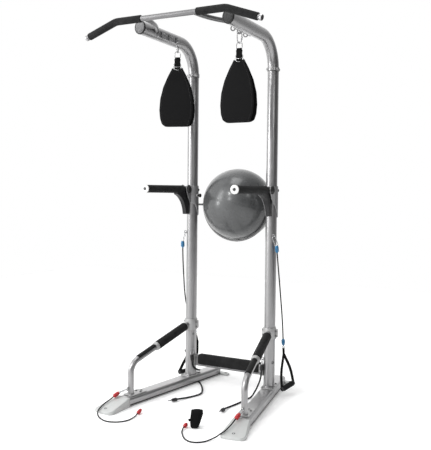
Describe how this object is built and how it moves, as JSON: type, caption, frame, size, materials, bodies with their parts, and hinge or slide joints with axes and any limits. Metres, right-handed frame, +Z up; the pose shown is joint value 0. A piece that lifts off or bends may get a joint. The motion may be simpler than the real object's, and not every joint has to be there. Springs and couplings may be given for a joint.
{
  "type": "power tower",
  "caption": "Freestanding gym tower: cranked pull-up bar, folding dip arms, push-up handles, padded foot bar, hanging slings, clip-on cords and a cradled exercise ball.",
  "frame": {"origin": "on the floor, midway between the two uprights and midway front to back of the frame's box", "axes": "+Z up, the user stands at -Y facing +Y, +X to the user's right"},
  "size_m": [1.0638, 1.2388, 2.166],
  "materials": {
    "frame_steel": "silver-grey satin",
    "black_steel": "satin black",
    "foot_grey": "matte pale grey",
    "foam": "matte foam",
    "chrome": "polished",
    "black_plastic": "satin",
    "cap_black": "satin",
    "cap_grey": "satin",
    "white_plastic": "gloss",
    "ball_skin": "gunmetal gloss",
    "fabric": "woven webbing",
    "cord_rubber": "sheathed cord",
    "red_plastic": "satin",
    "blue_plastic": "satin"
  },
  "bodies": {
    "stand": {"pull_up_bar": "frame_steel", "foot_bar": "frame_steel", "foot_bar_pad": "foam", "ball_cradle": "frame_steel", "ankle_cuff": "fabric", "runner_L": "frame_steel", "front_foot_L": "foot_grey", "upright_L": "frame_steel", "boom_L": "frame_steel", "boom_cap_L": "cap_grey", "bar_grip_L": "foam", "push_up_handle_L": "frame_steel", "handle_grip_lower_L": "foam", "handle_grip_upper_L": "foam", "front_cord_L": "cord_rubber", "front_clip_L": "red_plastic", "front_end_L": "red_plastic", "side_cord_L": "cord_rubber", "side_clip_L": "blue_plastic", "side_end_L": "blue_plastic", "floor_cord_L": "cord_rubber", "floor_clip_L": "black_plastic", "floor_end_L": "black_plastic", "runner_R": "frame_steel", "front_foot_R": "foot_grey", "upright_R": "frame_steel", "boom_R": "frame_steel", "boom_cap_R": "cap_black", "bar_grip_R": "foam", "push_up_handle_R": "frame_steel", "handle_grip_lower_R": "foam", "handle_grip_upper_R": "foam", "front_cord_R": "cord_rubber", "front_clip_R": "red_plastic", "front_end_R": "red_plastic", "side_cord_R": "cord_rubber", "side_clip_R": "blue_plastic", "side_end_R": "blue_plastic", "floor_cord_R": "cord_rubber", "floor_clip_R": "black_plastic", "floor_end_R": "black_plastic"},
    "ball": {"exercise_ball": "ball_skin"},
    "carriage_L": {"arm_sleeve_L": "frame_steel", "fold_bolt_L": "black_plastic"},
    "pin_L": {"pull_pin_L": "black_plastic"},
    "arm_L": {"dip_arm_L": "black_steel", "arm_grip_L": "foam", "arm_cap_L": "white_plastic"},
    "link_L": {"carabiner_L": "chrome"},
    "sling_L": {"sling_ring_L": "chrome", "sling_L": "fabric"},
    "carriage_R": {"arm_sleeve_R": "frame_steel", "fold_bolt_R": "black_plastic"},
    "pin_R": {"pull_pin_R": "black_plastic"},
    "arm_R": {"dip_arm_R": "black_steel", "arm_grip_R": "foam", "arm_cap_R": "white_plastic"},
    "link_R": {"carabiner_R": "chrome"},
    "sling_R": {"sling_ring_R": "chrome", "sling_R": "fabric"}
  },
  "joints": [
    {"name": "arm_height_L", "type": "slide", "parent": "stand", "child": "carriage_L", "axis": [0, 0, 1], "range_m": [-0.15, 0]},
    {"name": "pin_pull_L", "type": "slide", "parent": "carriage_L", "child": "pin_L", "axis": [1, 0, 0], "range_m": [0, 0.006], "stiffness_N_per_m": 300},
    {"name": "arm_fold_L", "type": "hinge", "parent": "carriage_L", "child": "arm_L", "pos_m": [-0.282, 0.1464, 1.238], "axis": [-1, 0, 0], "range_deg": [0, 45]},
    {"name": "sling_swing_L", "type": "hinge", "parent": "stand", "child": "link_L", "pos_m": [-0.2215, -0.0686, 2.095], "axis": [1, 0, 0], "range_deg": [-35, 20]},
    {"name": "sling_turn_L", "type": "hinge", "parent": "link_L", "child": "sling_L", "pos_m": [-0.2215, -0.0686, 2.04], "axis": [0, 0, 1], "range_deg": [-20, 25]},
    {"name": "arm_height_R", "type": "slide", "parent": "stand", "child": "carriage_R", "axis": [0, 0, 1], "range_m": [-0.15, 0]},
    {"name": "pin_pull_R", "type": "slide", "parent": "carriage_R", "child": "pin_R", "axis": [-1, 0, 0], "range_m": [0, 0.006], "stiffness_N_per_m": 300},
    {"name": "arm_fold_R", "type": "hinge", "parent": "carriage_R", "child": "arm_R", "pos_m": [0.282, 0.1464, 1.238], "axis": [-1, 0, 0], "range_deg": [0, 45]},
    {"name": "sling_swing_R", "type": "hinge", "parent": "stand", "child": "link_R", "pos_m": [0.2215, -0.1486, 2.095], "axis": [1, 0, 0], "range_deg": [-20, 15]},
    {"name": "sling_turn_R", "type": "hinge", "parent": "link_R", "child": "sling_R", "pos_m": [0.2215, -0.1486, 2.04], "axis": [0, 0, 1], "range_deg": [-30, 5]},
    {"name": "ball_lift", "type": "slide", "parent": "stand", "child": "ball", "axis": [0, 0, 1], "range_m": [0, 0.3]}
  ]
}
